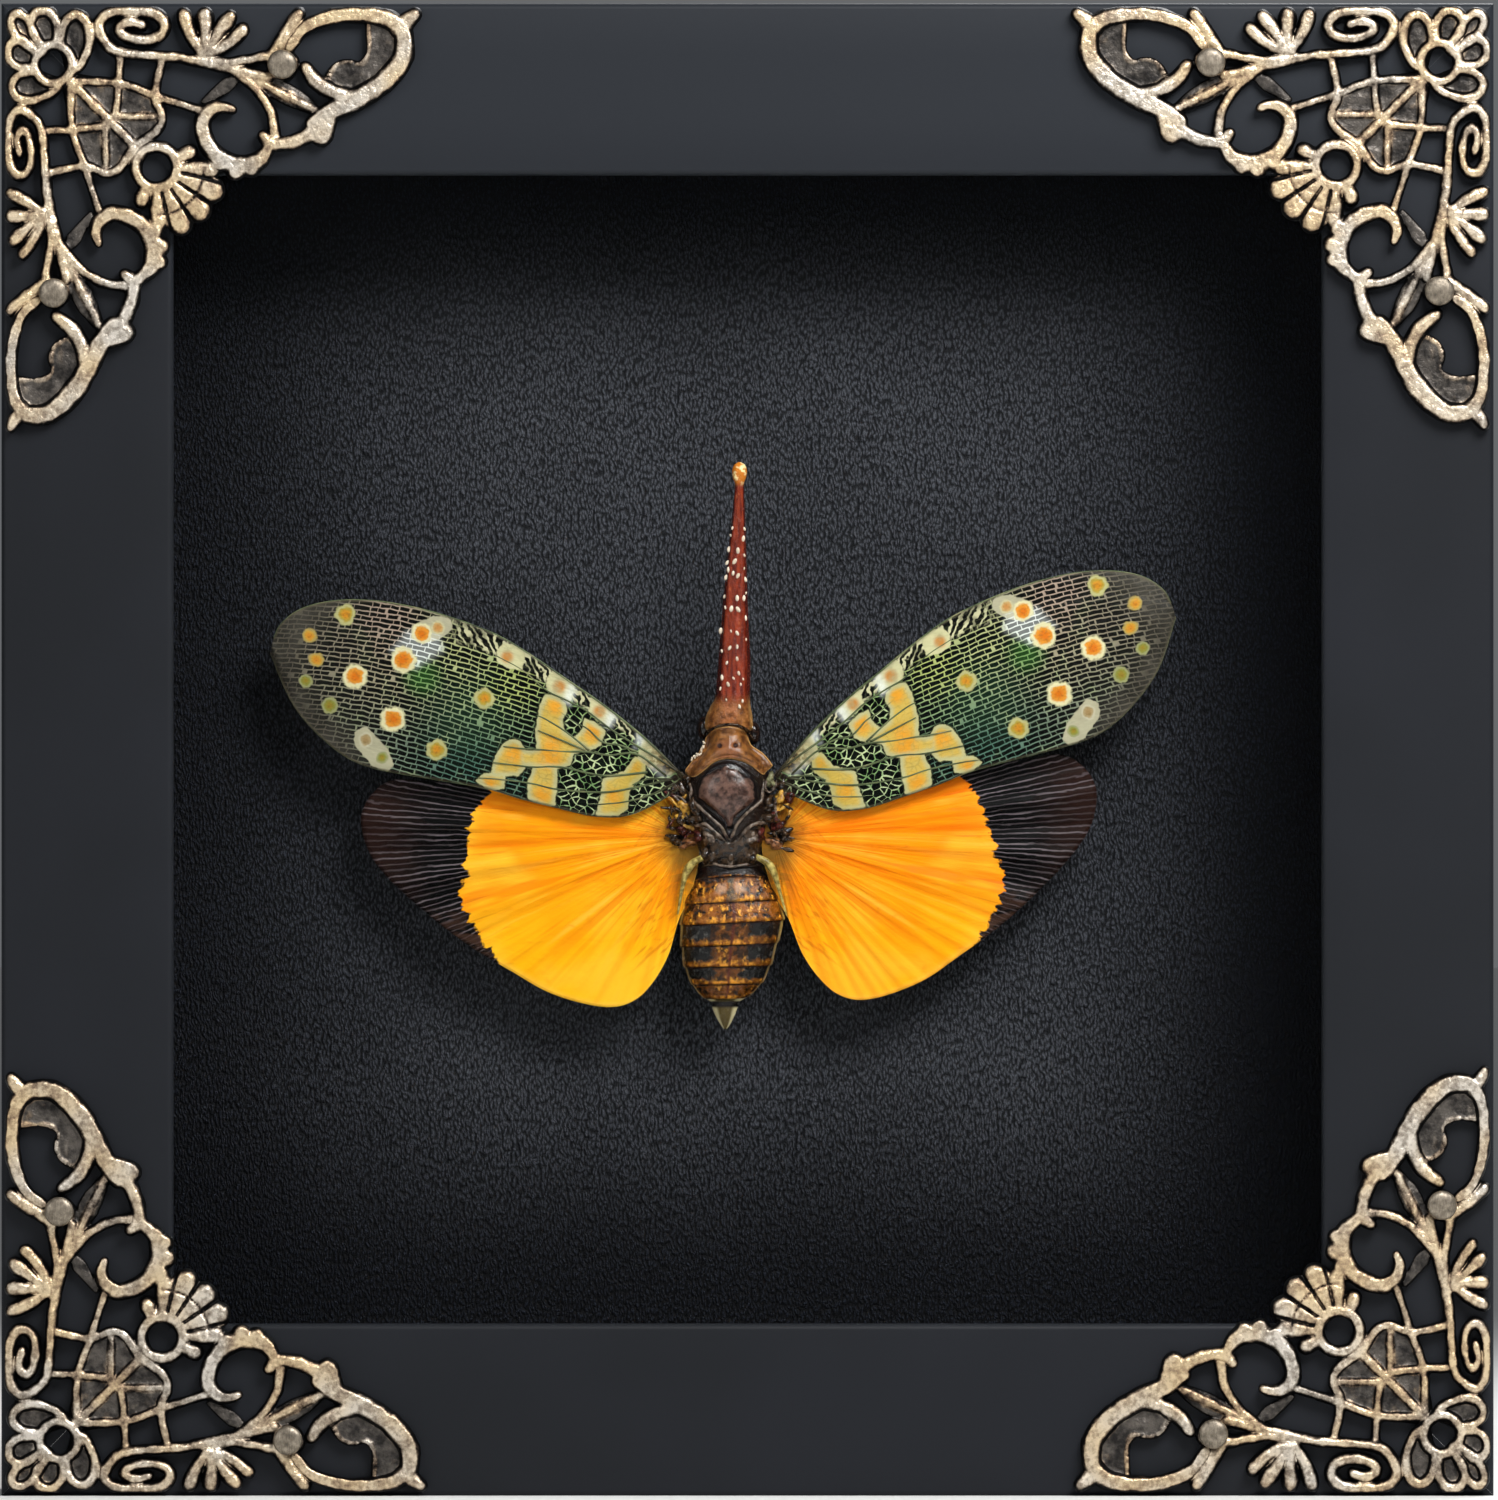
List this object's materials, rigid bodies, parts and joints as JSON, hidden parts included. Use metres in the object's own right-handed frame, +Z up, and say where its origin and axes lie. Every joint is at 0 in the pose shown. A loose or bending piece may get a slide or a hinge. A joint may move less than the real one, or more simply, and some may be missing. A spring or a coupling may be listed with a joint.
{
  "type": "framed lanternfly specimen",
  "caption": "Square black shadow-box frame with cast filigree metal corners, holding a spread long-snouted lanternfly on dark leatherette under glass.",
  "frame": {"origin": "middle of the bottom of the whole object, on the surface it stands on", "axes": "front looks towards -Y, +X is to the viewer's right, +Z is up"},
  "size_m": [0.127, 0.0286, 0.127],
  "materials": {
    "black_wood": "black satin paint",
    "clear_glass": "clear, polished",
    "black_foam": "matt",
    "black_leatherette": "fine pebbled grain, low sheen",
    "brown_board": "matt",
    "steel": "zinc plated",
    "antique_brass": "antiqued, dark in the hollows",
    "dull_brass": "dull, worn",
    "chitin": "waxy, partly glossy",
    "forewing": "thin, veined, low sheen",
    "hindwing": "thin, pleated, matt"
  },
  "bodies": {
    "root": {"moulding_top": "black_wood", "moulding_bottom": "black_wood", "moulding_left": "black_wood", "moulding_right": "black_wood", "glass_pane": "clear_glass", "spacer_top": "black_foam", "spacer_bottom": "black_foam", "spacer_left": "black_foam", "spacer_right": "black_foam", "backing_card": "black_leatherette", "back_board": "brown_board", "tab_top": "steel", "tab_bottom": "steel", "tab_left": "steel", "tab_right": "steel", "hanger_plate": "steel", "hanger_nail_left": "steel", "hanger_nail_right": "steel", "ornament_top_left": "antique_brass", "ornament_top_right": "antique_brass", "ornament_bottom_left": "antique_brass", "ornament_bottom_right": "antique_brass", "tack_top_left_upright": "dull_brass", "tack_top_left_level": "dull_brass", "tack_top_right_upright": "dull_brass", "tack_top_right_level": "dull_brass", "tack_bottom_left_upright": "dull_brass", "tack_bottom_left_level": "dull_brass", "tack_bottom_right_upright": "dull_brass", "tack_bottom_right_level": "dull_brass", "insect_body": "chitin", "leg_front_left": "chitin", "leg_front_right": "chitin", "leg_middle_left": "chitin", "leg_middle_right": "chitin", "leg_hind_left": "chitin", "leg_hind_right": "chitin", "forewing_left": "forewing", "forewing_right": "forewing", "hindwing_left": "hindwing", "hindwing_right": "hindwing", "mount_block": "black_foam"}
  },
  "joints": []
}
